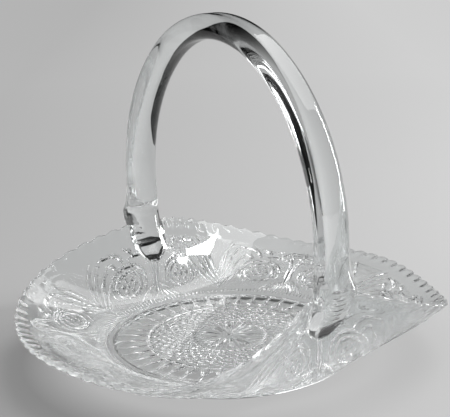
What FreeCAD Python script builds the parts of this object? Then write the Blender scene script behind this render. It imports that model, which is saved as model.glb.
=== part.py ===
"""Glass serving basket: a pressed dish with a scalloped rim and a drawn loop handle, fused into one piece.

Frame: millimetres, +Z up, z = 0 on the face the foot ring stands on, the origin at the middle of
the foot.  +X runs along the dish's long way, so the two sides that are folded up to the handle
face -Y and +Y.
"""
import FreeCAD
import Part
import math
import os

from FreeCAD import Vector

DRIVING_DIMENSIONS = [
    # Plan and height of the rim, measured at the tips of its scallops
    ("overall_length", 305.0),
    ("diagonal_rim_diameter", 309.0),
    ("side_rim_width", 219.0),
    ("shoulder_fullness", 4.2),
    ("end_rim_height", 33.5),
    ("diagonal_rim_height", 38.5),
    ("side_rim_height", 71.5),
    # Slope of the wall where it leaves the foot and where it meets the rim, in degrees
    ("heel_slope", 28.0),
    ("end_rim_slope", 14.0),
    ("side_rim_slope", 58.0),
    # Glass thickness
    ("heel_thickness", 6.0),
    ("rim_thickness", 4.0),
    ("base_thickness", 6.0),
    # Foot
    ("foot_diameter", 180.0),
    ("foot_ring_width", 6.0),
    ("foot_height", 4.5),
    ("foot_step", 2.0),
    ("floor_diameter", 156.0),
    # Scalloped edge
    ("scallop_count", 80),
    ("scallop_depth", 1.8),
    ("plain_edge_width", 3.0),
    ("edge_bevel", 0.9),
    # Loop handle
    ("handle_span", 230.0),
    ("handle_top", 240.5),
    ("handle_spring_height", 105.5),
    ("handle_width", 24.0),
    ("handle_thickness", 17.5),
    ("handle_corner", 6.5),
    ("handle_shoulder_angle", 52.5),
    ("foot_pad_width", 27.0),
    ("foot_pad_bulge", 8.0),
    ("foot_pad_drop", 26.0),
    ("pad_rib_count", 7),
    ("pad_rib_length", 20.0),
    ("pad_rib_pitch", 4.0),
    ("pad_rib_reach", 7.0),
    # Pressed pattern, raised on the outside
    ("relief_height", 1.0),
    ("relief_width", 2.2),
    ("pattern_repeats", 6),
    ("star_points", 12),
    ("star_diameter", 46.0),
    ("stem_bottom", 6.0),
    ("stem_top", 53.0),
    ("stem_top_under_handle", 40.0),
    ("rosette_offset", 25.0),
    ("rosette_height", 29.0),
    ("rosette_radius", 11.0),
    ("scroll_radius", 16.0),
    ("leaf_count", 40),
    ("leaf_band_inner_diameter", 117.0),
    ("leaf_band_outer_diameter", 150.0),
]
AROUND = 40
PAD_GRIP = 2.4
PAD_COURSE = ((0.25, 1.0, 0.8), (0.5, 0.96, 0.6), (0.75, 0.78, 0.38), (0.93, 0.48, 0.18), (1.0, 0.2, 0.05))
SEAM = 0.001
RELIEF_ROOT = 0.6
PATTERN_WIDE = 117.0
PATTERN_TALL = 69.0
PATTERN_FLARE = 0.36
RING_SIDES = 16
SCROLL_START = 205
SCROLL_END = -55
SCROLL_STEPS = 12
FAN_LEANS = (4.0, 8.5, 13.0)
FAN_TOP = 24.0
FAN_BOTTOM = 8.0
TOP_SCROLL = ((4.0, 48.0), (9.0, 51.5), (16.0, 52.0), (23.0, 50.0))
SPRAYS = ((3.5, 50.0), (9.0, 46.0), (13.0, 37.0))
SPRAY_BOTTOM = 9.0
STAR_CORE = 2.0
STAR_FULLNESS = 0.9
LEAF_FULLNESS = 0.8
WIDEST_AT = 0.42

doc = FreeCAD.newDocument("glass_basket")
sheet = doc.addObject("Spreadsheet::Sheet", "driving_dimensions")
for row, (alias, value) in enumerate(DRIVING_DIMENSIONS, start=1):
    sheet.set("A%d" % row, alias)
    sheet.set("B%d" % row, str(value))
    sheet.setAlias("B%d" % row, alias)
doc.recompute()


def size(alias):
    """The value of one driving dimension."""
    return float(sheet.get(alias))


def around_rim(theta, end, diagonal, side, sixth=0.0):
    """A smooth closed course through its values at the ends, the diagonals and the sides."""
    mean = (end + side) / 2
    return (
        (mean + diagonal) / 2
        + ((end - side) / 2 - sixth) * math.cos(2 * theta)
        + (mean - diagonal) / 2 * math.cos(4 * theta)
        + sixth * math.cos(6 * theta)
    )


def side_share(theta):
    """0 at the two ends of the dish and 1 at the two sides that carry the handle."""
    return math.sin(theta) ** 2


def polar(theta, radius, height):
    return Vector(radius * math.cos(theta), radius * math.sin(theta), height)


def rim_slope(theta):
    share = side_share(theta)
    return math.radians(size("end_rim_slope") * (1 - share) + size("side_rim_slope") * share)


def edge_point(theta, below_tip, outward):
    """A point of the rim's section: below the scallop tips along the wall, and off its middle."""
    radius = around_rim(theta, size("overall_length") / 2, size("diagonal_rim_diameter") / 2,
                        size("side_rim_width") / 2, size("shoulder_fullness"))
    height = around_rim(theta, size("end_rim_height"), size("diagonal_rim_height"),
                        size("side_rim_height"))
    slope = rim_slope(theta)
    return (
        radius - below_tip * math.cos(slope) + outward * math.sin(slope),
        height - below_tip * math.sin(slope) - outward * math.cos(slope),
    )


def outer_profile(theta):
    """The four poles of the outer wall's section, as (radius, height) pairs."""
    start = (size("foot_diameter") / 2, size("foot_step"))
    top = edge_point(theta, size("plain_edge_width") + size("scallop_depth"), size("rim_thickness") / 2)
    reach = 0.4 * math.hypot(top[0] - start[0], top[1] - start[1])
    heel = math.radians(size("heel_slope"))
    slope = rim_slope(theta)
    return [
        start,
        (start[0] + reach * math.cos(heel), start[1] + reach * math.sin(heel)),
        (top[0] - reach * math.cos(slope), top[1] - reach * math.sin(slope)),
        top,
    ]


def on_profile(poles, share):
    """Point and outward unit normal of a cubic section at a share of its run."""
    rest = 1 - share
    weights = (rest ** 3, 3 * share * rest ** 2, 3 * share ** 2 * rest, share ** 3)
    point = [sum(w * p[axis] for w, p in zip(weights, poles)) for axis in (0, 1)]
    slopes = (rest ** 2, 2 * share * rest, share ** 2)
    along = [sum(w * (poles[k + 1][axis] - poles[k][axis]) for k, w in enumerate(slopes)) for axis in (0, 1)]
    length = math.hypot(along[0], along[1])
    return point, (along[1] / length, -along[0] / length)


def inner_profile(theta):
    """The poles of the inner wall's section, from the flat floor up to the rim."""
    outer = outer_profile(theta)
    floor_radius = size("floor_diameter") / 2
    floor_height = size("foot_height") + size("base_thickness")
    heel = size("heel_thickness")
    poles = [(floor_radius, floor_height), (floor_radius + heel, floor_height)]
    for share in (0.2, 0.4, 0.6, 0.8):
        point, normal = on_profile(outer, share)
        wall = heel * (1 - share) + size("rim_thickness") * share
        poles.append((point[0] - wall * normal[0], point[1] - wall * normal[1]))
    below_tip = size("plain_edge_width") + size("scallop_depth")
    poles.append(edge_point(theta, below_tip, -size("rim_thickness") / 2))
    return poles


def smoothed(ring):
    """Poles of a closed cubic spline that runs through the given ring of points."""
    return [p - (ring[k - 1] - p * 2 + ring[(k + 1) % len(ring)]) / 6 for k, p in enumerate(ring)]


def wall_surface(profile):
    """A wall that is smooth and closed around the dish, from its sections at even angles."""
    columns = [[polar(a, r, z) for r, z in profile(a)]
               for a in (2 * math.pi * (k - 1) / AROUND for k in range(AROUND))]
    rows = [smoothed([column[k] for column in columns]) for k in range(len(columns[0]))]
    spans = len(rows) - 3
    surface = Part.BSplineSurface()
    surface.buildFromPolesMultsKnots(
        [[row[k] for row in rows] for k in range(AROUND)],
        [1] * (AROUND + 1), [4] + [1] * (spans - 1) + [4],
        list(range(AROUND + 1)), list(range(spans + 1)), True, False, 3, 3)
    return surface


def closed_edge(points):
    """A closed smooth edge through points given from one step before +X."""
    curve = Part.BSplineCurve()
    curve.buildFromPolesMultsKnots(smoothed(points), [1] * (len(points) + 1),
                                   list(range(len(points) + 1)), True, 3)
    return curve.toShape()


def scallop_edge(outward):
    """One corner line of the rim's scalloped edge."""
    count = int(size("scallop_count"))
    steps = 3 * count
    depth = size("scallop_depth")
    points = []
    for k in range(steps):
        theta = 2 * math.pi * (k - 1) / steps
        below_tip = depth / 2 * (1 - math.cos(count * theta))
        points.append(polar(theta, *edge_point(theta, below_tip, outward)))
    return closed_edge(points)


def make_dish():
    """The pressed dish, with a solid foot: walls, floor, foot and scalloped edge sewn into one."""
    outer = wall_surface(outer_profile)
    inner = wall_surface(inner_profile)
    outer_foot = outer.vIso(0).toShape()
    outer_top = outer.vIso(1).toShape()
    inner_floor = inner.vIso(0).toShape()
    inner_top = inner.vIso(inner.bounds()[3]).toShape()
    standing = outer_foot.copy()
    standing.translate(Vector(0, 0, -size("foot_step")))
    edge_half = size("rim_thickness") / 2 - size("edge_bevel")
    outer_edge = scallop_edge(edge_half)
    inner_edge = scallop_edge(-edge_half)
    faces = [
        outer.toShape(),
        inner.toShape(),
        Part.Face(Part.Wire(inner_floor)),
        Part.Face(Part.Wire(standing)),
        Part.makeRuledSurface(standing, outer_foot),
        Part.makeRuledSurface(outer_top, outer_edge),
        Part.makeRuledSurface(outer_edge, inner_edge),
        Part.makeRuledSurface(inner_edge, inner_top),
    ]
    shell = Part.makeCompound(faces)
    shell.sewShape(SEAM)
    return Part.makeSolid(shell)


def section_wire(middle, outward, width, thickness):
    """A rounded oblong section of the handle, its thickness along the outward direction."""
    corner = size("handle_corner") * min(width / size("handle_width"), thickness / size("handle_thickness"))
    half_wide = width / 2
    half_thick = thickness / 2
    diagonal = corner * (1 - math.sqrt(0.5))

    def at(x, out):
        return middle + Vector(x, 0, 0) + outward * out

    edges = []
    for x_side, out_side in ((1, 1), (-1, 1), (-1, -1), (1, -1)):
        x = x_side * half_wide
        out = out_side * half_thick
        along_face = at(x, out - out_side * corner)
        tip = at(x - x_side * diagonal, out - out_side * diagonal)
        along_rim = at(x - x_side * corner, out)
        ends = (along_face, along_rim) if x_side == out_side else (along_rim, along_face)
        if edges:
            edges.append(Part.makeLine(edges[-1].lastVertex().Point, ends[0]))
        edges.append(Part.Arc(ends[0], tip, ends[1]).toShape())
    edges.append(Part.makeLine(edges[-1].lastVertex().Point, edges[0].firstVertex().Point))
    return Part.Wire(edges)


def foot_stations():
    """The foot's sections, from the straight leg down over the rim to the tip of its pad.

    Each is its middle, the direction that it faces outward in, its width and its thickness.
    """
    side = math.pi / 2
    wall = outer_profile(side)
    width = size("handle_width")
    thickness = size("handle_thickness")
    pad_width = size("foot_pad_width")
    bulge = size("foot_pad_bulge")
    half_span = size("handle_span") / 2
    spring = size("handle_spring_height")
    tip = edge_point(side, 0.0, 0.0)[1]
    stations = []
    for share in (1.0, 0.75, 0.4, 0.1):
        swell = (1 - share) ** 2
        middle = Vector(0, half_span + bulge / 2 * swell, tip + (spring - tip) * share)
        stations.append((middle, Vector(0, 1, 0), width + (pad_width - width) * swell,
                         thickness + bulge * swell))
    run = math.hypot(wall[3][0] - wall[0][0], wall[3][1] - wall[0][1])
    for down, wide, proud in PAD_COURSE:
        point, normal = on_profile(wall, 1 - size("foot_pad_drop") * down / run)
        outward = Vector(0, normal[0], normal[1])
        depth = thickness * proud + PAD_GRIP
        middle = Vector(0, point[0], point[1]) + outward * (depth / 2 - PAD_GRIP)
        stations.append((middle, outward, pad_width * wide, depth))
    return stations


def foot_face(foot, height):
    """The outermost point of a foot at a height, on the foot's middle line."""
    probe = Part.makeLine(Vector(0, 0, height), Vector(0, size("overall_length"), height))
    return Vector(0, foot.common(probe).BoundBox.YMax, height)


def pad_ribs(foot):
    """Ribs that the pressing tool leaves across the outside of a foot, one below another."""
    rim_height = edge_point(math.pi / 2, 0.0, 0.0)[1]
    half = size("relief_width") / 2
    length = size("pad_rib_length")
    ribs = []
    for k in range(int(size("pad_rib_count"))):
        height = rim_height + size("pad_rib_reach") - size("pad_rib_pitch") * k
        top = foot_face(foot, height + half)
        bottom = foot_face(foot, height - half)
        outward = (top - bottom).cross(Vector(1, 0, 0)).normalize()
        corner = Vector(-length / 2, 0, 0)
        crest = (top + bottom) / 2 + outward * size("relief_height")
        section = [top - outward * RELIEF_ROOT + corner, crest + corner,
                   bottom - outward * RELIEF_ROOT + corner]
        ribs.append(Part.Face(Part.makePolygon(section + section[:1])).extrude(Vector(length, 0, 0)))
    return ribs


def make_handle():
    """The loop handle: a flattened rod of clear glass, bent over and pressed on at both ends."""
    half_span = size("handle_span") / 2
    spring = size("handle_spring_height")
    rise = size("handle_top") - size("handle_thickness") / 2 - spring
    shoulder = math.radians(size("handle_shoulder_angle"))
    c, s = math.cos(shoulder), math.sin(shoulder)
    scale = (1 - c) * (1 - s) - s * c
    side_radius = (half_span * (1 - s) - rise * c) / scale
    crown_radius = (rise * (1 - c) - half_span * s) / scale
    x_axis = Vector(1, 0, 0)
    side_centre = Vector(0, half_span - side_radius, spring)
    crown_centre = Vector(0, 0, spring + rise - crown_radius)
    wires = [section_wire(*station) for station in foot_stations()]
    plain_foot = Part.makeLoft(wires, True, False)
    foot = plain_foot.multiFuse(pad_ribs(plain_foot))
    start = Part.Face(wires[0])
    haunch = start.revolve(side_centre, x_axis, math.degrees(shoulder))
    shoulder_face = start.copy()
    shoulder_face.rotate(side_centre, x_axis, math.degrees(shoulder))
    crown = shoulder_face.revolve(crown_centre, x_axis, 180 - 2 * math.degrees(shoulder))
    side = foot.fuse(haunch)
    return crown.multiFuse([side, side.mirror(Vector(0, 0, 0), Vector(0, 1, 0))]).removeSplitter()


def wall_place(axis, x, y):
    """Point and outward normal on the outer wall for a point of the pattern's flat drawing.

    x runs both ways from the middle line of one repeat and y up from the foot, in millimetres at
    the wall's middle height, where a repeat is PATTERN_WIDE and the wall PATTERN_TALL.
    """
    spread = 1 + PATTERN_FLARE * (y / PATTERN_TALL - 0.4)
    theta = axis + 2 * math.pi / size("pattern_repeats") * x / (PATTERN_WIDE * spread)
    (radius, height), normal = on_profile(outer_profile(theta), y / PATTERN_TALL)
    return polar(theta, radius, height), polar(theta, normal[0], normal[1])


def ridge(axis, route, closed=False):
    """A raised line of the pattern: a roof-shaped bead along a route on the drawing, fine at its ends."""
    wires = []
    for k, (x, y) in enumerate(route):
        point, normal = wall_place(axis, x, y)
        if closed:
            before, after = route[k - 1], route[(k + 1) % len(route)]
            fullness = 1.0
        else:
            before, after = route[max(k - 1, 0)], route[min(k + 1, len(route) - 1)]
            fullness = 0.45 + 0.55 * math.sin(math.pi * (k + 0.35) / (len(route) - 0.3))
        along = wall_place(axis, *after)[0] - wall_place(axis, *before)[0]
        aside = normal.cross(along).normalize() * (size("relief_width") * 0.5 * fullness)
        root = aside * ((size("relief_height") + RELIEF_ROOT) / size("relief_height"))
        foot = point - normal * (RELIEF_ROOT * fullness)
        top = point + normal * (size("relief_height") * fullness)
        wires.append(Part.makePolygon([foot - root, top, foot + root, foot - root]))
    return Part.makeLoft(wires, True, False, closed)


def arc_route(x, y, radius, start, end, steps, squash=1.0):
    """Points of an arc on the pattern's drawing, its angles in degrees."""
    angles = [math.radians(start + (end - start) * k / steps) for k in range(steps + 1)]
    return [(x + radius * math.cos(a), y + squash * radius * math.sin(a)) for a in angles]


def mirrored(route):
    return [(-x, y) for x, y in route]


def repeat_ridges(axis, under_handle):
    """One repeat of the wall's pattern: stem, fan, ringed rosettes in scrolls, and half sprays."""
    ridges = []
    bottom = size("stem_bottom")
    run = size("stem_top_under_handle" if under_handle else "stem_top") - bottom
    ridges.append(ridge(axis, [(0, bottom + run * k / 4) for k in range(5)]))
    middle_x, middle_y = size("rosette_offset"), size("rosette_height")
    ring = arc_route(middle_x, middle_y, size("rosette_radius"), 0, 360 - 360 / RING_SIDES, RING_SIDES - 1)
    halves = [TOP_SCROLL]
    halves.append(arc_route(middle_x, middle_y, size("scroll_radius"),
                            SCROLL_START, SCROLL_END, SCROLL_STEPS))
    for lean in FAN_LEANS:
        halves.append([(2.5 + lean * 0.25, FAN_TOP), (2.5 + lean * 0.6, (FAN_TOP + FAN_BOTTOM) / 2),
                       (2.5 + lean, FAN_BOTTOM)])
    for lean, top in SPRAYS:
        x = PATTERN_WIDE / 2 - lean
        rise = top - SPRAY_BOTTOM
        halves.append([(PATTERN_WIDE / 2 - 1.5 - lean * 0.2, SPRAY_BOTTOM),
                       (x + lean * 0.25, SPRAY_BOTTOM + rise * 0.4),
                       (x, SPRAY_BOTTOM + rise * 0.8), (x - 3.0, top)])
    for route in halves:
        ridges.append(ridge(axis, route))
        ridges.append(ridge(axis, mirrored(route)))
    for route in (ring, mirrored(ring)):
        ridges.append(ridge(axis, route, closed=True))
    return ridges


def pyramid(outline, apex):
    """A low pointed lump of the underside's pattern, over a flat outline."""
    faces = [Part.Face(Part.makePolygon(outline + outline[:1]))]
    for k, corner in enumerate(outline):
        following = outline[(k + 1) % len(outline)]
        faces.append(Part.Face(Part.makePolygon([corner, following, apex, corner])))
    return Part.makeSolid(Part.makeShell(faces))


def radial_lumps(count, inner, outer, fullness):
    """A ring of pointed lumps under the floor, each a kite that lies along its own radius.

    Fullness is the share of the way around that the lumps fill where they are widest.
    """
    root = size("foot_height") + RELIEF_ROOT
    middle = inner + (outer - inner) * WIDEST_AT
    half_width = math.pi * middle / count * fullness
    lumps = []
    for k in range(int(count)):
        turn = 2 * math.pi * k / count
        outline = [Vector(inner, 0, root), Vector(middle, -half_width, root),
                   Vector(outer, 0, root), Vector(middle, half_width, root)]
        lump = pyramid(outline, Vector(middle, 0, size("foot_height") - size("relief_height")))
        lump.rotate(Vector(0, 0, 0), Vector(0, 0, 1), math.degrees(turn))
        lumps.append(lump)
    return lumps


def floor_ring(radius):
    """A raised ring under the floor, roof-shaped in section."""
    root = size("foot_height") + RELIEF_ROOT
    half = size("relief_width") * 0.75
    section = [Vector(radius - half, 0, root), Vector(radius, 0, size("foot_height") - size("relief_height")),
               Vector(radius + half, 0, root)]
    face = Part.Face(Part.makePolygon(section + section[:1]))
    return face.revolve(Vector(0, 0, 0), Vector(0, 0, 1), 360)


def make_relief():
    """The pressed pattern that stands out from the wall and from the underside of the floor."""
    repeats = int(size("pattern_repeats"))
    lumps = []
    for k in range(repeats):
        axis = math.pi / 2 + 2 * math.pi * k / repeats
        under_handle = abs(math.cos(axis)) < 0.01
        lumps += repeat_ridges(axis, under_handle)
    star = size("star_diameter") / 2
    lumps += radial_lumps(size("star_points"), STAR_CORE, star, STAR_FULLNESS)
    inner = size("leaf_band_inner_diameter") / 2
    outer = size("leaf_band_outer_diameter") / 2
    lumps += radial_lumps(size("leaf_count"), inner + size("relief_width"), outer, LEAF_FULLNESS)
    lumps += [floor_ring(star + 2 * size("relief_width")), floor_ring(inner)]
    return lumps[0].multiFuse(lumps[1:])


def add_shape(name, label, shape):
    feature = doc.addObject("Part::Feature", name)
    feature.Label = label
    feature.Shape = shape
    feature.Placement = FreeCAD.Placement()
    return feature


# The pressed dish, with the recess inside its foot ring
dish_blank = add_shape("dish_blank", "dish_blank", make_dish())
recess = doc.addObject("Part::Cylinder", "foot_recess")
recess.setExpression("Radius", "driving_dimensions.foot_diameter / 2 - driving_dimensions.foot_ring_width")
recess.setExpression("Height", "driving_dimensions.foot_height")
dish = doc.addObject("Part::Cut", "dish")
dish.Base = dish_blank
dish.Tool = recess

# The pressed pattern, which stands out from the wall's outside and from the floor's underside
relief = add_shape("relief", "relief", make_relief())
patterned = doc.addObject("Part::Fuse", "patterned_dish")
patterned.Base = dish
patterned.Tool = relief

# The handle, pressed on while both were hot, so that all of it is one piece of glass
handle = add_shape("handle", "handle", make_handle())
basket = doc.addObject("Part::Fuse", "glass_basket")
basket.Label = "glass_basket"
basket.Base = patterned
basket.Tool = handle

doc.recompute()
for item in doc.Objects:
    if "Invalid" in item.State or "Error" in item.State:
        raise RuntimeError("%s failed to rebuild" % item.Label)
for item in (dish, relief, patterned, handle, basket):
    if item.Shape.isNull() or not item.Shape.isValid():
        raise RuntimeError("%s has no valid shape" % item.Label)
if len(basket.Shape.Solids) != 1:
    raise RuntimeError("the basket is not one solid")

os.makedirs("parts", exist_ok=True)
basket.Shape.exportStep("parts/glass_basket.step")
bounds = basket.Shape.optimalBoundingBox()
print("glass_basket %.1f x %.1f x %.1f mm, %.1f cm3" % (
    bounds.XLength, bounds.YLength, bounds.ZLength, basket.Shape.Volume / 1000))
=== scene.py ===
"""Clear glass serving basket with a loop handle, on a pale table in soft daylight from the right."""
import math

import bmesh
import bpy
import numpy as np
from mathutils import Euler, Matrix, Vector


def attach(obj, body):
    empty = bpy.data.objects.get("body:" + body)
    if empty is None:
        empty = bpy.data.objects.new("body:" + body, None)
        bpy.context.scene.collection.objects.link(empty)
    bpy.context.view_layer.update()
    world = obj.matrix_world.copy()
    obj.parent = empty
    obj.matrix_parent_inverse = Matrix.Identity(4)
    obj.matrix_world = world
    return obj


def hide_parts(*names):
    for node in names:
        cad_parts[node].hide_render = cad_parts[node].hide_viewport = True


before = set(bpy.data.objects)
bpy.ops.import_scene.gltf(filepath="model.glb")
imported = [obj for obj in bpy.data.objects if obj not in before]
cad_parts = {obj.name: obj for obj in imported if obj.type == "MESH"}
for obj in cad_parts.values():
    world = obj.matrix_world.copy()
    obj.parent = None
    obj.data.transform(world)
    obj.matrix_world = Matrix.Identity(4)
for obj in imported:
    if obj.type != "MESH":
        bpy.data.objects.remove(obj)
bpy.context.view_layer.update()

# Dish body
# A shallow dish of clear soda-lime glass, pressed in an iron mould and folded up, while soft, at the two sides
# that carry the handle.  Its wall is smooth inside and patterned outside.  Lengths are in millimetres, and MM
# turns them to metres.
MM = 0.001
OVERALL_LENGTH = 305.0
DIAGONAL_RIM_DIAMETER = 309.0
SIDE_RIM_WIDTH = 219.0
SHOULDER_FULLNESS = 4.2
END_RIM_HEIGHT = 33.5
DIAGONAL_RIM_HEIGHT = 38.5
SIDE_RIM_HEIGHT = 71.5
HEEL_SLOPE = 28.0
END_RIM_SLOPE = 14.0
SIDE_RIM_SLOPE = 58.0
HEEL_THICKNESS = 6.0
RIM_THICKNESS = 4.0
FLOOR_TOP = 10.5
FLOOR_RADIUS = 78.0
FOOT_RADIUS = 90.0
FOOT_RING_WIDTH = 6.0
FOOT_HEIGHT = 4.5
FOOT_STEP = 2.0
SCALLOP_COUNT = 80
SCALLOP_DEPTH = 1.8
PLAIN_EDGE = 3.0
POLE_REACH = 0.4
WALL_STEPS = (0.2, 0.4, 0.6, 0.8)
# Points round the dish, and rows up it, on its faces
WALL_COLUMNS = 960
WALL_ROWS = 50
INNER_COLUMNS = 320
INNER_ROWS = 20
FLOOR_COLUMNS = 480


def around_rim(theta, end, diagonal, side, sixth=0.0):
    """A smooth closed course through its values at the ends, the diagonals and the sides."""
    mean = (end + side) / 2
    return (
        (mean + diagonal) / 2
        + ((end - side) / 2 - sixth) * np.cos(2 * theta)
        + (mean - diagonal) / 2 * np.cos(4 * theta)
        + sixth * np.cos(6 * theta)
    )


def rim_slope(theta):
    side = np.sin(theta) ** 2
    return np.radians(END_RIM_SLOPE * (1 - side) + SIDE_RIM_SLOPE * side)


def edge_point(theta, below_tip, outward):
    """Radius and height in the rim's section: below the scallop tips, and off the wall's middle."""
    radius = around_rim(theta, OVERALL_LENGTH / 2, DIAGONAL_RIM_DIAMETER / 2, SIDE_RIM_WIDTH / 2,
                        SHOULDER_FULLNESS)
    height = around_rim(theta, END_RIM_HEIGHT, DIAGONAL_RIM_HEIGHT, SIDE_RIM_HEIGHT)
    slope = rim_slope(theta)
    return (
        radius - below_tip * np.cos(slope) + outward * np.sin(slope),
        height - below_tip * np.sin(slope) - outward * np.cos(slope),
    )


def outer_poles(theta):
    """The four Bezier poles of the outer wall's section, each a (radius, height) pair of arrays."""
    top = edge_point(theta, PLAIN_EDGE + SCALLOP_DEPTH, RIM_THICKNESS / 2)
    reach = POLE_REACH * np.hypot(top[0] - FOOT_RADIUS, top[1] - FOOT_STEP)
    heel = math.radians(HEEL_SLOPE)
    slope = rim_slope(theta)
    return [
        (FOOT_RADIUS + 0 * theta, FOOT_STEP + 0 * theta),
        (FOOT_RADIUS + reach * math.cos(heel), FOOT_STEP + reach * math.sin(heel)),
        (top[0] - reach * np.cos(slope), top[1] - reach * np.sin(slope)),
        top,
    ]


def on_profile(poles, share):
    """Radius, height and outward normal of the outer section at a share of its run."""
    rest = 1 - share
    weights = (rest ** 3, 3 * share * rest ** 2, 3 * share ** 2 * rest, share ** 3)
    radius, height = (sum(w * p[axis] for w, p in zip(weights, poles)) for axis in (0, 1))
    slopes = (rest ** 2, 2 * share * rest, share ** 2)
    run, rise = (
        sum(w * (poles[k + 1][axis] - poles[k][axis]) for k, w in enumerate(slopes)) for axis in (0, 1)
    )
    length = np.hypot(run, rise)
    return radius, height, rise / length, -run / length


def spline_weights(share, count):
    """Weights of a clamped cubic spline's poles at one share of its run."""
    spans = count - 3
    knots = [0.0] * 3 + [k / spans for k in range(spans + 1)] + [1.0] * 3
    weights = [1.0 if knots[k] <= share < knots[k + 1] else 0.0 for k in range(len(knots) - 1)]
    if share >= 1.0:
        weights[count - 1] = 1.0
    for degree in (1, 2, 3):
        raised = []
        for k in range(len(weights) - 1):
            first, second, before_last, last = knots[k], knots[k + 1], knots[k + degree], knots[k + degree + 1]
            rising = (share - first) / (before_last - first) * weights[k] if before_last > first else 0.0
            falling = (last - share) / (last - second) * weights[k + 1] if last > second else 0.0
            raised.append(rising + falling)
        weights = raised
    return weights[:count]


def inner_wall(theta, share):
    """Radius and height of the smooth inner wall, from the floor's edge up to the rim."""
    outer = outer_poles(theta)
    poles = [(FLOOR_RADIUS + 0 * theta, FLOOR_TOP + 0 * theta),
             (FLOOR_RADIUS + HEEL_THICKNESS + 0 * theta, FLOOR_TOP + 0 * theta)]
    for step in WALL_STEPS:
        radius, height, normal_out, normal_up = on_profile(outer, step)
        wall = HEEL_THICKNESS * (1 - step) + RIM_THICKNESS * step
        poles.append((radius - wall * normal_out, height - wall * normal_up))
    poles.append(edge_point(theta, PLAIN_EDGE + SCALLOP_DEPTH, -RIM_THICKNESS / 2))
    weights = spline_weights(share, len(poles))
    return tuple(sum(w * p[axis] for w, p in zip(weights, poles)) for axis in (0, 1))


def angles(count):
    """Even turns around a circle."""
    return np.arange(count) * 2 * math.pi / count


def ring_points(theta, radius, height):
    """One closed ring of the dish, as an array of points."""
    return np.stack([radius * np.cos(theta), radius * np.sin(theta), height + 0 * theta], axis=1)


# Pressed pattern
# Raised lines and seeds of the same glass, left by the mould on the outside of the wall: six repeats of a stem
# with a fan at its foot and a ringed rosette in a scroll on either side, with sprays between, over a stippled
# ground.  Each place is (across from the stem, up from the foot) on a flat drawing of one repeat.
REPEATS = 6
PATTERN_WIDE = 117.0
PATTERN_TALL = 69.0
PATTERN_FLARE = 0.36
RELIEF_HEIGHT = 1.0
RELIEF_WIDTH = 2.2
ROSETTE = (25.0, 29.0)
ROSETTE_RADIUS = 11.0
SCROLL_RADIUS = 16.0
SCROLL_TURN = (205, -55)
MIDDLE_SEED_RADIUS = 1.9
# Seeds in circles round the rosette's middle: how many, the circle's radius, a seed's radius and its height
SEED_CIRCLES = ((6, 5.4, 1.7, RELIEF_HEIGHT), (14, 13.6, 0.9, 0.5))
STEM = ((1.7, 9.0), (1.5, 24.0), (1.9, 40.0), (4.6, 52.0))
FAN_LEANS = (3.4, 7.4, 11.4, 15.4)
# How far each line of the spray leans from the repeat's edge, and how high it ends
SPRAYS = ((2.2, 61.0), (7.6, 57.0), (12.6, 48.0), (17.0, 38.0))
SPRAY_BOTTOM = 8.0
TOP_LINES = (
    ((4.0, 47.0), (9.0, 51.0), (16.0, 52.0), (24.0, 49.5)),
    ((29.0, 48.5), (32.0, 53.5), (38.5, 57.0), (45.0, 56.5)),
    ((34.5, 44.5), (37.5, 48.5), (41.5, 50.5)),
    ((21.0, 53.0), (23.5, 56.0), (27.5, 58.0)),
)
SHELL_RADII = (9.0, 12.0, 15.0)
SHELL_HEIGHT = 45.0
TEETH_PITCH = 3.25
TEETH_HEIGHT = 4.2
TEETH_REACH = 3.0
GROUND_BOTTOM = 6.0
GROUND_TOP = 60.0
GROUND_DEPTH = 0.45


def arc_route(x, y, radius, start, end, steps):
    """Points of an arc on the pattern's flat drawing, its angles in degrees."""
    turn = np.radians(np.linspace(start, end, steps + 1))
    return np.stack([x + radius * np.cos(turn), y + radius * np.sin(turn)], axis=1)


def bent_route(points, steps=10):
    """A smooth line through a few points of the drawing."""
    knots = np.array(points, float)
    ends = np.vstack([2 * knots[0] - knots[1], knots, 2 * knots[-1] - knots[-2]])
    line = []
    for k in range(1, len(ends) - 2):
        before, start, end, after = ends[k - 1:k + 3]
        for share in np.arange(steps) / steps:
            line.append(0.5 * (
                2 * start + (end - before) * share
                + (2 * before - 5 * start + 4 * end - after) * share ** 2
                + (3 * start - before - 3 * end + after) * share ** 3
            ))
    return np.vstack([line, knots[-1]])


def to_route(x, y, route):
    """Distance from each place to a route of the drawing, and how far along it the nearest point is."""
    nearest = np.full(x.shape, 1e9)
    along = np.zeros(x.shape)
    lengths = np.hypot(*np.diff(route, axis=0).T)
    total = lengths.sum()
    done = 0.0
    for (x0, y0), (x1, y1), length in zip(route[:-1], route[1:], lengths):
        share = np.clip(((x - x0) * (x1 - x0) + (y - y0) * (y1 - y0)) / length ** 2, 0, 1)
        distance = np.hypot(x - x0 - share * (x1 - x0), y - y0 - share * (y1 - y0))
        closer = distance < nearest
        nearest = np.where(closer, distance, nearest)
        along = np.where(closer, (done + share * length) / total, along)
        done += length
    return nearest, along


def bead(distance, half_width, height):
    """A rounded raised line's height at a distance from its middle."""
    return height * np.clip(1 - (distance / half_width) ** 2, 0, None)


def line_height(x, y, route, width=RELIEF_WIDTH, height=RELIEF_HEIGHT, start=0.45, end=0.45):
    """Height of a raised line that runs fine at its ends; start and end give its fullness there."""
    distance, along = to_route(x, y, route)
    middle = np.sin(math.pi * along)
    fullness = middle + (1 - middle) * (start * (1 - along) + end * along)
    return bead(distance, width * 0.6 * fullness, height * (0.4 + 0.6 * fullness))


def seed_height(x, y, seed_x, seed_y, radius, height=RELIEF_HEIGHT):
    return bead(np.hypot(x - seed_x, y - seed_y), radius, height)


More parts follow.
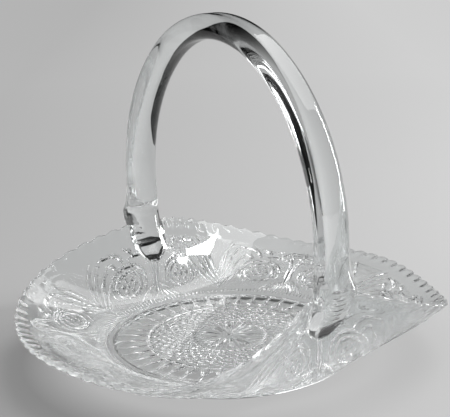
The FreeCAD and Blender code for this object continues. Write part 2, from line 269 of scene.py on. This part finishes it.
def stem_routes():
    """The stem and the fan of lines that spreads from it."""
    routes = [bent_route(STEM)]
    for lean in FAN_LEANS:
        root = (1.6 + lean * 0.2, 25 - lean * 0.2)
        routes.append(bent_route([root, (1.8 + lean * 0.55, 16), (2.4 + lean, 7.5)]))
    return routes


def spray_routes():
    """The plume of bent lines between two repeats."""
    edge = PATTERN_WIDE / 2
    routes = []
    for lean, top in SPRAYS:
        x, rise = edge - lean, top - SPRAY_BOTTOM
        routes.append(bent_route([
            (edge - 1.0 - lean * 0.15, SPRAY_BOTTOM), (x + lean * 0.3, SPRAY_BOTTOM + rise * 0.4),
            (x + lean * 0.04, SPRAY_BOTTOM + rise * 0.75), (x - 4.5, top),
        ]))
    return routes


def pattern_height(x, y, shell):
    """Height of the pattern's raised work over the ground, and where the stippled ground shows."""
    side = np.abs(x)
    ring = np.hypot(side - ROSETTE[0], y - ROSETTE[1])
    height = bead(ring - ROSETTE_RADIUS, RELIEF_WIDTH * 0.62, RELIEF_HEIGHT)
    raised = [line_height(side, y, arc_route(*ROSETTE, SCROLL_RADIUS, *SCROLL_TURN, 26))]
    raised += [line_height(side, y, route, start=0.3, end=0.9) for route in stem_routes()]
    raised += [line_height(side, y, route, start=0.5, end=0.3) for route in spray_routes()]
    raised += [line_height(side, y, bent_route(points)) for points in TOP_LINES]
    raised += [seed_height(side, y, *ROSETTE, MIDDLE_SEED_RADIUS)]
    for count, circle, radius, tall in SEED_CIRCLES:
        for turn in angles(count):
            seed_x, seed_y = ROSETTE[0] + circle * math.cos(turn), ROSETTE[1] + circle * math.sin(turn)
            raised.append(seed_height(side, y, seed_x, seed_y, radius, tall))
    for radius in SHELL_RADII:
        raised.append(line_height(side, y, arc_route(0.0, SHELL_HEIGHT, radius, 12, 168, 18)) * shell)
    for part in raised:
        height = np.maximum(height, part)
    row = np.clip(1 - np.abs(y - TEETH_HEIGHT) / TEETH_REACH, 0, 1) ** 0.6
    teeth = 0.5 * (1 + np.cos(2 * math.pi * x / TEETH_PITCH)) * row
    height = np.maximum(height, 0.6 * RELIEF_HEIGHT * teeth)
    border = np.clip((GROUND_TOP - y) / 3.0, 0, 1) * np.clip((y - GROUND_BOTTOM) / 2.0, 0, 1)
    ground = GROUND_DEPTH * border * np.clip(1 - height / 0.35, 0, 1)
    return height, ground


def pattern_place(theta, share):
    """Where a place on the wall falls on the drawing, and 1 where its repeat has a shell.

    The two repeats under the handle have none.
    """
    y = PATTERN_TALL * share
    spread = 1 + PATTERN_FLARE * (y / PATTERN_TALL - 0.4)
    turn = (theta - math.pi / 2) / (2 * math.pi / REPEATS)
    repeat = np.round(turn)
    shell = np.where(np.mod(repeat, REPEATS / 2) == 0, 0.0, 1.0)
    return (turn - repeat) * PATTERN_WIDE * spread, y, shell


# Underside of the floor
# The mould's second field of pattern, pressed into the same glass under the flat floor, inside the foot ring: a
# pointed star in a ring, a band of small diamonds, and a ring of leaves that point outward.
STAR_POINTS = 12
STAR_RADIUS = 23.0
DIAMOND_BAND = (27.0, 55.0)
LEAF_COUNT = 40
LEAF_BAND = (58.5, 75.0)
DIAMOND_SPIRALS = 34.0
DIAMOND_STRETCH = 1.25
FLOOR_MIDDLE = 2.0
FLOOR_STEP = 1.45
COARSE_REACH = 34.0
FOOT_BEVEL = 0.6
STEP_BEVEL = 0.5
FLUTE_DEPTH = 0.25
FLUTE_START = 0.93
FLUTE_RUN = 0.07
# The scalloped edge's section, outside to inside: how far below its tip, and how far off the wall's middle
EDGE_COURSE = ((0.9, 1.55), (0.25, 0.95), (0.0, 0.0), (0.25, -0.95), (0.9, -1.55))


def floor_height(theta, radius):
    """Height of the underside's pattern, downward from the floor's flat underside."""
    tooth = np.abs(np.mod(theta * STAR_POINTS / (2 * math.pi) + 0.5, 1) - 0.5) * 2
    reach = radius / STAR_RADIUS
    petal_half = 0.95 * np.clip(1 - np.abs(reach - 0.45) / 0.55, 0, 1) ** 0.6
    petal = np.clip(1 - tooth / np.maximum(petal_half, 1e-3), 0, 1)
    height = RELIEF_HEIGHT * petal * np.clip((1 - reach) * 6, 0, 1)
    for ring in (STAR_RADIUS + 2 * RELIEF_WIDTH, LEAF_BAND[0]):
        height = np.maximum(height, bead(radius - ring, RELIEF_WIDTH * 0.75, RELIEF_HEIGHT))
    rows = np.log(np.maximum(radius, 1.0)) * DIAMOND_SPIRALS / math.pi * DIAMOND_STRETCH
    turns = theta * DIAMOND_SPIRALS / math.pi
    lattice = np.abs(np.sin(math.pi * (turns + rows) / 2) * np.sin(math.pi * (turns - rows) / 2))
    from_star = np.clip((radius - DIAMOND_BAND[0] - 1) / 1.5, 0, 1)
    band = from_star * np.clip((DIAMOND_BAND[1] + 1 - radius) / 1.5, 0, 1)
    height = np.maximum(height, 0.8 * RELIEF_HEIGHT * lattice * band)
    leaf = np.abs(np.mod(theta * LEAF_COUNT / (2 * math.pi), 1) - 0.5) * 2
    inward = (radius - LEAF_BAND[0]) / (LEAF_BAND[1] - LEAF_BAND[0])
    half = 0.85 * np.clip(np.minimum(inward * 2.6, (1 - inward) * 1.7), 0, 1)
    return np.maximum(height, 0.9 * RELIEF_HEIGHT * np.clip(1 - leaf / np.maximum(half, 1e-3), 0, 1))


def dish_rings():
    """Every ring of the dish's skin, from the middle of the underside out, over the rim and in to the floor.

    Each is a list of points, of how much stipple shows there, and of how far the pattern stands up.
    """
    rings = []
    theta = angles(FLOOR_COLUMNS)
    coarse = angles(FLOOR_COLUMNS // 2)
    inside_foot = FOOT_RADIUS - FOOT_RING_WIDTH
    for radius in np.arange(FLOOR_MIDDLE, inside_foot - 1.0, FLOOR_STEP):
        turn = coarse if radius < COARSE_REACH else theta
        height = floor_height(turn, radius + 0 * turn)
        rings.append((ring_points(turn, radius, FOOT_HEIGHT - height), 0 * turn, height))
    for radius, height in ((inside_foot - STEP_BEVEL, FOOT_HEIGHT), (inside_foot, FOOT_HEIGHT - STEP_BEVEL),
                           (inside_foot, FOOT_BEVEL), (inside_foot + FOOT_BEVEL, 0.0),
                           (FOOT_RADIUS - FOOT_BEVEL, 0.0), (FOOT_RADIUS, FOOT_BEVEL)):
        rings.append((ring_points(theta, radius, height), 0 * theta, 0 * theta))
    theta = angles(WALL_COLUMNS)
    poles = outer_poles(theta)
    for row in range(WALL_ROWS + 1):
        share = row / WALL_ROWS
        radius, height, normal_out, normal_up = on_profile(poles, share)
        x, y, shell = pattern_place(theta, share)
        relief, ground = pattern_height(x, y, shell)
        flute = FLUTE_DEPTH * (1 - np.cos(SCALLOP_COUNT * theta))
        relief = relief * np.clip(share * 30, 0, 1) - flute * np.clip((share - FLUTE_START) / FLUTE_RUN, 0, 1)
        ring = ring_points(theta, radius + relief * normal_out, height + relief * normal_up)
        rings.append((ring, ground, relief))
    notch = SCALLOP_DEPTH * (1 - np.abs(np.cos(SCALLOP_COUNT * theta / 2)) ** 1.4)
    for below, outward in EDGE_COURSE:
        rings.append((ring_points(theta, *edge_point(theta, notch + below, outward)), 0 * theta, 0 * theta))
    theta = angles(INNER_COLUMNS)
    for row in range(INNER_ROWS + 1):
        rings.append((ring_points(theta, *inner_wall(theta, 1 - row / INNER_ROWS)), 0 * theta, 0 * theta))
    return rings


def skin(rings):
    """Faces between rings; a ring with fewer points than its neighbour takes several of its points each."""
    faces = []
    start = 0
    for (lower, *_), (upper, *_) in zip(rings[:-1], rings[1:]):
        low, high = len(lower), len(upper)
        above = start + low
        if low == high:
            for k in range(low):
                after = (k + 1) % low
                faces.append((start + k, start + after, above + after, above + k))
        else:
            many, few = max(low, high), min(low, high)
            ratio = many // few
            many_start, few_start = (start, above) if low > high else (above, start)
            for k in range(few):
                after = (k + 1) % few
                middle = ratio // 2
                for j in range(ratio):
                    near = k if j < middle else after
                    a, b = many_start + k * ratio + j, many_start + (k * ratio + j + 1) % many
                    faces.append((a, b, few_start + near) if low > high else (b, a, few_start + near))
                corner = many_start + (k * ratio + middle) % many
                pair = (few_start + k, few_start + after)
                faces.append((corner, pair[1], pair[0]) if low > high else (corner, pair[0], pair[1]))
        start = above
    return faces


def make_soft_glass(name, rings):
    """An object from rings in millimetres, capped at both ends, that keeps its stipple and relief as marks."""
    points = np.vstack([ring[0] for ring in rings]) * MM
    first, last = (rings[end][0].mean(axis=0) * MM for end in (0, -1))
    total, count = len(points), len(rings[0][0])
    faces = skin(rings)
    faces += [((k + 1) % count, k, total) for k in range(count)]
    count = len(rings[-1][0])
    base = total - count
    faces += [(base + k, base + (k + 1) % count, total + 1) for k in range(count)]
    mesh = bpy.data.meshes.new(name)
    mesh.from_pydata(np.vstack([points, first, last]).tolist(), [], faces)
    for column, mark in enumerate(("stipple", "relief"), start=1):
        values = np.concatenate([ring[column] for ring in rings] + [[0.0, 0.0]])
        mesh.attributes.new(mark, "FLOAT", "POINT").data.foreach_set("value", values.astype(np.float32))
    mesh.update()
    soft = bpy.data.objects.new(name, mesh)
    bpy.context.collection.objects.link(soft)
    return soft


dish = make_soft_glass("dish", dish_rings())

# Loop handle
# A rod of the same clear glass, drawn, flattened and bent over while hot, then pressed down over the rim at
# both sides, where the tool leaves a shell of ribs on its feet.  The corners of its section are rounder than
# the solid's, as the photo's rod looks.
HANDLE_SPAN = 230.0
HANDLE_TOP = 240.5
HANDLE_SPRING = 105.5
HANDLE_WIDTH = 24.0
HANDLE_THICKNESS = 17.5
HANDLE_CORNER = 8.6
SHOULDER_ANGLE = 52.5
PAD_WIDTH = 27.0
PAD_BULGE = 8.0
PAD_DROP = 26.0
PAD_GRIP = 2.4
LEG_COURSE = (1.0, 0.75, 0.4, 0.1)
# Down the pad: how far of its drop, its share of the full width, and how proud of the wall it stands
PAD_COURSE = ((0.25, 1.0, 0.8), (0.5, 0.96, 0.6), (0.75, 0.78, 0.38), (0.93, 0.48, 0.18), (1.0, 0.2, 0.05))
PAD_RIB_COUNT = 7
PAD_RIB_LENGTH = 20.0
PAD_RIB_PITCH = 4.0
PAD_RIB_REACH = 7.0
PAD_RIB_FADE = 1.5
# Points round the rod, spacing of its rings along a foot where it is ribbed and where it is plain, and rings on
# one half of the arch
SECTION_POINTS = 64
RIBBED_SPACING = 0.55
PLAIN_SPACING = 2.2
ARCH_STEPS = 60


def foot_stations():
    """Sections of one foot, from the pad's tip up to the leg: middle y and z, outward lean, width, depth."""
    side = np.array([math.pi / 2])
    wall = [(p[0][0], p[1][0]) for p in outer_poles(side)]
    tip = edge_point(side, 0.0, 0.0)[1][0]
    run = math.hypot(wall[3][0] - wall[0][0], wall[3][1] - wall[0][1])
    stations = []
    for share in LEG_COURSE:
        swell = (1 - share) ** 2
        width = HANDLE_WIDTH + (PAD_WIDTH - HANDLE_WIDTH) * swell
        stations.append((HANDLE_SPAN / 2 + PAD_BULGE / 2 * swell, tip + (HANDLE_SPRING - tip) * share, 0.0,
                         width, HANDLE_THICKNESS + PAD_BULGE * swell))
    for down, wide, proud in PAD_COURSE:
        radius, height, normal_out, normal_up = on_profile(wall, 1 - PAD_DROP * down / run)
        depth = HANDLE_THICKNESS * proud + PAD_GRIP
        off = depth / 2 - PAD_GRIP
        stations.append((radius + off * normal_out, height + off * normal_up,
                         math.atan2(normal_up, normal_out), PAD_WIDTH * wide, depth))
    return np.array(stations[::-1])


def between(stations, place):
    """A smooth course through the stations, read at a place counted in stations."""
    k = min(int(place), len(stations) - 2)
    share = place - k
    start, end = stations[k], stations[k + 1]
    before = stations[k - 1] if k > 0 else 2 * start - end
    after = stations[k + 2] if k + 2 < len(stations) else 2 * end - start
    return 0.5 * (
        2 * start + (end - before) * share
        + (2 * before - 5 * start + 4 * end - after) * share ** 2
        + (3 * start - before - 3 * end + after) * share ** 3
    )


def section_outline(width, depth):
    """A rounded oblong as (across, outward) pairs, even around, from the middle of the outward face."""
    corner = HANDLE_CORNER * min(width / HANDLE_WIDTH, depth / HANDLE_THICKNESS)
    flat_x, flat_y = width / 2 - corner, depth / 2 - corner
    quarter = math.pi / 2 * corner
    around = 4 * (flat_x + flat_y + quarter)
    outline = []
    for k in range(SECTION_POINTS):
        left = k / SECTION_POINTS * around
        mirror = 1 if left <= around / 2 else -1
        left = min(left, around - left)
        flip = 1 if left <= around / 4 else -1
        left = min(left, around / 2 - left)
        if left <= flat_x:
            point = (left, depth / 2)
        elif left <= flat_x + quarter:
            turn = (left - flat_x) / corner
            point = (flat_x + corner * math.sin(turn), flat_y + corner * math.cos(turn))
        else:
            point = (width / 2, flat_y - (left - flat_x - quarter))
        outline.append((mirror * point[0], flip * point[1]))
    return np.array(outline)


def section_ring(y, z, lean, width, depth):
    """One ring of the handle's skin; lean turns its outward face down from level.

    The foot's ribs run across the half of its outward face towards -X and die away past its middle.
    """
    outline = section_outline(width, depth)
    across, out = outline[:, 0], outline[:, 1]
    top_rib = SIDE_RIM_HEIGHT + PAD_RIB_REACH
    rib = np.clip(np.round((top_rib - z - depth / 2 * math.sin(lean)) / PAD_RIB_PITCH), 0, PAD_RIB_COUNT - 1)
    off_crest = z + depth / 2 * math.sin(lean) - top_rib + rib * PAD_RIB_PITCH
    reach = np.clip((PAD_RIB_LENGTH / 2 - np.abs(across)) / PAD_RIB_FADE, 0, 1)
    reach = reach * np.clip(0.2 - across / 8, 0, 1) * (out > 0)
    out = out + bead(off_crest, RELIEF_WIDTH / 2, RELIEF_HEIGHT) * reach
    points = np.stack([across, y + out * math.cos(lean), z + out * math.sin(lean)], axis=1)
    return points, 0 * out, 0 * out


def foot_places(stations):
    """Places along a foot for its rings: close together where the face is ribbed, wide apart elsewhere."""
    top = SIDE_RIM_HEIGHT + PAD_RIB_REACH
    bottom = top - PAD_RIB_PITCH * (PAD_RIB_COUNT - 1)
    ahead_by = 0.02
    places = [0.0]
    while places[-1] < len(stations) - 1.3:
        y, z, lean, width, depth = between(stations, places[-1])
        face = z + depth / 2 * math.sin(lean)
        ribbed = bottom - PAD_RIB_FADE < face < top + PAD_RIB_FADE
        ahead = between(stations, places[-1] + ahead_by)
        climb = math.hypot(ahead[0] - y, ahead[1] - z) / ahead_by
        places.append(places[-1] + (RIBBED_SPACING if ribbed else PLAIN_SPACING) / climb)
    return places


def handle_rings():
    """Rings from the tip of one pad, over the arch, to the tip of the other."""
    stations = foot_stations()
    side_rings = [between(stations, place) for place in foot_places(stations)]
    rise = HANDLE_TOP - HANDLE_THICKNESS / 2 - HANDLE_SPRING
    half_span = HANDLE_SPAN / 2
    shoulder = math.radians(SHOULDER_ANGLE)
    c, s = math.cos(shoulder), math.sin(shoulder)
    scale = (1 - c) * (1 - s) - s * c
    side_radius = (half_span * (1 - s) - rise * c) / scale
    crown_radius = (rise * (1 - c) - half_span * s) / scale
    arch = []
    for step in range(ARCH_STEPS + 1):
        turn = math.pi / 2 * step / ARCH_STEPS
        if turn <= shoulder:
            y = half_span - side_radius + side_radius * math.cos(turn)
            z = HANDLE_SPRING + side_radius * math.sin(turn)
        else:
            y = crown_radius * math.cos(turn)
            z = HANDLE_SPRING + rise - crown_radius + crown_radius * math.sin(turn)
        arch.append((y, z, turn, HANDLE_WIDTH, HANDLE_THICKNESS))
    half = side_rings + arch
    rings = [section_ring(*place) for place in half]
    for place in half[-2::-1]:
        points, *plain = section_ring(*place)
        rings.append((points * np.array([1.0, -1.0, 1.0]), *plain))
    return rings


handle = make_soft_glass("handle", handle_rings())

# One piece of glass
# The basket as it leaves the maker: the handle is put on while both are soft, so dish and handle are one piece
# of clear soda-lime glass, under one skin, with no wall between them.


def face_outward(mesh):
    """Turns every face of a closed mesh to its outside."""
    shape = bmesh.new()
    shape.from_mesh(mesh)
    bmesh.ops.recalc_face_normals(shape, faces=shape.faces)
    shape.to_mesh(mesh)
    shape.free()


for soft in (dish, handle):
    face_outward(soft.data)
join = dish.modifiers.new("pressed_on", "BOOLEAN")
join.operation = "UNION"
join.solver = "MANIFOLD"
join.object = handle
joined = bpy.data.meshes.new_from_object(dish.evaluated_get(bpy.context.evaluated_depsgraph_get()))
basket = bpy.data.objects.new("pressed_glass_basket", joined)
bpy.context.collection.objects.link(basket)
for soft in (dish, handle):
    bpy.data.objects.remove(soft)
joined.shade_smooth()


def hex_colour(code):
    """A linear colour from an sRGB hex code."""
    parts = [int(code[k:k + 2], 16) / 255 for k in (1, 3, 5)]
    return tuple(p / 12.92 if p <= 0.04045 else ((p + 0.055) / 1.055) ** 2.4 for p in parts) + (1.0,)


def add_node(tree, kind, settings=None, links=None, **inputs):
    """A shader node with its settings, its input values and its links."""
    node = tree.nodes.new(kind)
    for name, value in (settings or {}).items():
        setattr(node, name, value)
    for name, value in inputs.items():
        node.inputs[name.replace("_", " ")].default_value = value
    for name, source in (links or {}).items():
        tree.links.new(source, node.inputs[name])
    return node


def new_material(name):
    """An empty material and its node tree."""
    material = bpy.data.materials.new(name)
    material.use_nodes = True
    material.node_tree.nodes.clear()
    return material, material.node_tree


# Pressed soda-lime glass: clear and all but colourless, fire-polished to a full shine, so that it bends the
# card's grey and the dark floor into light and black lines.  The mould's stipple, 1.8 mm apart as the photo's
# looks, and the edges of the raised lines, sharper than the mesh can hold, break the light into sparkle.
STIPPLE_PITCH = 1.8 * MM
PATTERN_BITE = 1.1 * MM
glass, tree = new_material("pressed_soda_lime_glass")
place = add_node(tree, "ShaderNodeTexCoord")
seeds = add_node(tree, "ShaderNodeTexVoronoi", {"feature": "F1"}, {"Vector": place.outputs["Object"]},
                 Scale=1 / STIPPLE_PITCH, Randomness=0.15)
where = add_node(tree, "ShaderNodeAttribute", {"attribute_name": "stipple"})
lines = add_node(tree, "ShaderNodeAttribute", {"attribute_name": "relief"})
pits = add_node(tree, "ShaderNodeMath", {"operation": "MULTIPLY"},
                {0: seeds.outputs["Distance"], 1: where.outputs["Fac"]})
dots = add_node(tree, "ShaderNodeMath", {"operation": "SUBTRACT"},
                {0: pits.outputs[0], 1: lines.outputs["Fac"]})
bump = add_node(tree, "ShaderNodeBump", {"invert": True}, {"Height": dots.outputs[0]},
                Strength=1.0, Distance=PATTERN_BITE)
shader = add_node(tree, "ShaderNodeBsdfPrincipled", None, {"Normal": bump.outputs["Normal"]},
                  Base_Color=hex_colour("#FBFDFD"), Roughness=0.0, IOR=1.52, Transmission_Weight=1.0)
add_node(tree, "ShaderNodeOutputMaterial", None, {"Surface": shader.outputs["BSDF"]})
basket.data.materials.clear()
basket.data.materials.append(glass)
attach(basket, "root")
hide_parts("glass_basket")

# Table
# A sheet of pale matt card under the basket, on a near-black floor, painted shade that stands for the room's
# unlit dark, which shows past the card's far left edge and draws the black lines inside the handle.  The card's
# far left corners lie where those lines begin.
# Painted light: the card's tone runs from the darker grey away from the window to the lighter grey towards it
PAINTED_LIGHT_TABLE_COLOURS = ("#B9B9B9", "#D4D4D4")
TABLE_DROP = -0.2 * MM
PAPER_CORNERS = ((-1.467, -2.75), (5.0, -3.0), (9.0, 5.5), (2.124, 5.502), (0.395, 1.28), (-0.35, 0.66),
                 (-0.35, -0.184))
PAINTED_LIGHT_RUN = (0.82, -0.57, 0.0)
PAINTED_LIGHT_REACH = 0.35
DARK_FLOOR_RADIUS = 12
# Away from the middle, in metres: the share of the card's light that it gives off itself, a painted glow that is
# high under the basket, low just past it so that the window's shadow shows, and high again far off to lift the
# far card
PAINTED_GLOW_COURSE = ((0.11, 0.85), (0.15, 0.40), (1.2, 0.85))


def flat_sheet(name, corners, height):
    """A level sheet that is part of the stage and not of the basket."""
    sheet = bpy.data.meshes.new(name)
    sheet.from_pydata([(x, y, height) for x, y in corners], [], [tuple(range(len(corners)))])
    laid = bpy.data.objects.new(name, sheet)
    bpy.context.collection.objects.link(laid)
    return sheet


paper_mesh = flat_sheet("paper_sweep", PAPER_CORNERS, TABLE_DROP)
round_edge = [(DARK_FLOOR_RADIUS * math.cos(t), DARK_FLOOR_RADIUS * math.sin(t)) for t in angles(64)]
floor_mesh = flat_sheet("dark_floor", round_edge, 2 * TABLE_DROP)

# Matt paper card: uncoated and even, with no gloss. Its colour holds painted light: it is darker away from the
# window and lighter towards it, a painted falloff of the window's light. The share of light that it gives off
# itself is a painted glow that stands for the light that clear glass lets through on to it, so that the glass
# throws no more than a soft shadow.
paper, tree = new_material("matt_paper_with_painted_light")
place = add_node(tree, "ShaderNodeTexCoord")
across = add_node(tree, "ShaderNodeVectorMath", {"operation": "DOT_PRODUCT"}, {0: place.outputs["Object"]})
across.inputs[1].default_value = PAINTED_LIGHT_RUN
spread = add_node(tree, "ShaderNodeMapRange", None, {"Value": across.outputs["Value"]},
                  From_Min=-PAINTED_LIGHT_REACH, From_Max=PAINTED_LIGHT_REACH)
painted_light_ramp = add_node(tree, "ShaderNodeValToRGB", None, {"Fac": spread.outputs["Result"]})
for stop, code in zip(painted_light_ramp.color_ramp.elements, PAINTED_LIGHT_TABLE_COLOURS):
    stop.color = hex_colour(code)
off_middle = add_node(tree, "ShaderNodeVectorMath", {"operation": "LENGTH"}, {0: place.outputs["Object"]})
glow_reach = add_node(tree, "ShaderNodeMath", {"operation": "DIVIDE"}, {0: off_middle.outputs["Value"]})
glow_reach.inputs[1].default_value = PAINTED_GLOW_COURSE[-1][0]
glow_share = add_node(tree, "ShaderNodeValToRGB", None, {"Fac": glow_reach.outputs["Value"]})
glow_share.color_ramp.elements.new(0.5)
for stop, (away, share) in zip(glow_share.color_ramp.elements, PAINTED_GLOW_COURSE):
    stop.position = away / PAINTED_GLOW_COURSE[-1][0]
    stop.color = (share, share, share, 1.0)
matt = add_node(tree, "ShaderNodeBsdfDiffuse", None, {"Color": painted_light_ramp.outputs["Color"]})
painted_glow = add_node(tree, "ShaderNodeEmission", None, {"Color": painted_light_ramp.outputs["Color"]}, Strength=1.0)
shader = add_node(tree, "ShaderNodeMixShader", None, {0: glow_share.outputs["Color"], 1: matt.outputs["BSDF"],
                                                      2: painted_glow.outputs["Emission"]})
add_node(tree, "ShaderNodeOutputMaterial", None, {"Surface": shader.outputs["Shader"]})
paper_mesh.materials.append(paper)

# Painted shade: a dull, near-black floor that stands for the room's unlit dark, with no shine that the glass
# could pick up.
painted_shade_floor, tree = new_material("near_black_painted_shade_floor")
shader = add_node(tree, "ShaderNodeBsdfDiffuse", None, None, Color=hex_colour("#141414"))
add_node(tree, "ShaderNodeOutputMaterial", None, {"Surface": shader.outputs["BSDF"]})
floor_mesh.materials.append(painted_shade_floor)

# Light
# A grey room with one unlit side behind the basket, daylight from above and the right, and a tall window with a
# low one beside it, on the right, which the far wall mirrors.
DARK_SIDE = (0.081, 0.924, 0.375)
# Towards the dark side, as the cosine of the angle to it: the room's grey
WORLD_COURSE = ((0.15, "#646464"), (0.4, "#ACACAC"), (0.68, "#ACACAC"), (0.8, "#060606"))
world = bpy.data.worlds.new("studio")
bpy.context.scene.world = world
world.use_nodes = True
tree = world.node_tree
tree.nodes.clear()
place = add_node(tree, "ShaderNodeTexCoord")
behind = add_node(tree, "ShaderNodeVectorMath", {"operation": "DOT_PRODUCT"}, {0: place.outputs["Generated"]})
behind.inputs[1].default_value = DARK_SIDE
ramp = add_node(tree, "ShaderNodeValToRGB", None, {"Fac": behind.outputs["Value"]})
for stop in WORLD_COURSE[2:]:
    ramp.color_ramp.elements.new(stop[0])
for element, (place_on, code) in zip(ramp.color_ramp.elements, WORLD_COURSE):
    element.position = place_on
    element.color = hex_colour(code)
air = add_node(tree, "ShaderNodeBackground", None, {"Color": ramp.outputs["Color"]}, Strength=1.0)
add_node(tree, "ShaderNodeOutputWorld", None, {"Surface": air.outputs["Background"]})


def add_window(name, place, target, size, watts):
    """A lamp as large as a window, facing the target."""
    light = bpy.data.lights.new(name, "AREA")
    light.shape = "RECTANGLE"
    light.size, light.size_y = size
    light.energy = watts
    lamp = bpy.data.objects.new(name, light)
    lamp.location = place
    lamp.rotation_euler = (Vector(target) - Vector(place)).to_track_quat("-Z", "Y").to_euler()
    bpy.context.collection.objects.link(lamp)


add_window("window", (1.22, -0.56, 0.64), (0.0, 0.0, 0.05), (0.2, 0.8), 16.0)
add_window("low_window", (1.15, -0.76, 0.16), (0.0, 0.0, 0.05), (0.2, 0.3), 5.0)
sky = bpy.data.lights.new("sky", "SUN")
sky.energy = 1.58
sky.angle = math.radians(50)
overhead = bpy.data.objects.new("sky", sky)
overhead.rotation_euler = (0.0, math.radians(40), 0.0)
bpy.context.collection.objects.link(overhead)

# Camera and render
# The photograph's viewing place, found from the outlines of the foot and the rim.  Light may turn often inside
# the glass before it leaves.  The card's own light stands for the caustics, which are off.
scene = bpy.context.scene
CAMERA_PLACE = (-0.44267, -0.64402, 0.32900)
CAMERA_YAW = -34.473
CAMERA_PITCH = -16.060
CAMERA_ROLL = -2.02
LENS = 92.48
SENSOR_WIDTH = 36.0
GLASS_BOUNCES = 24
ALL_BOUNCES = 32
camera_data = bpy.data.cameras.new("camera")
camera_data.lens = LENS
camera_data.sensor_width = SENSOR_WIDTH
camera = bpy.data.objects.new("camera", camera_data)
turned = Euler((math.radians(90 + CAMERA_PITCH), 0.0, math.radians(CAMERA_YAW)), "XYZ").to_matrix()
rolled = turned @ Matrix.Rotation(math.radians(CAMERA_ROLL), 3, "Z")
camera.matrix_world = Matrix.Translation(CAMERA_PLACE) @ rolled.to_4x4()
bpy.context.collection.objects.link(camera)
scene.camera = camera
scene.view_settings.view_transform = "Standard"
scene.cycles.use_denoising = True
scene.cycles.caustics_reflective = False
scene.cycles.caustics_refractive = False
scene.cycles.transmission_bounces = GLASS_BOUNCES
scene.cycles.glossy_bounces = GLASS_BOUNCES
scene.cycles.max_bounces = ALL_BOUNCES
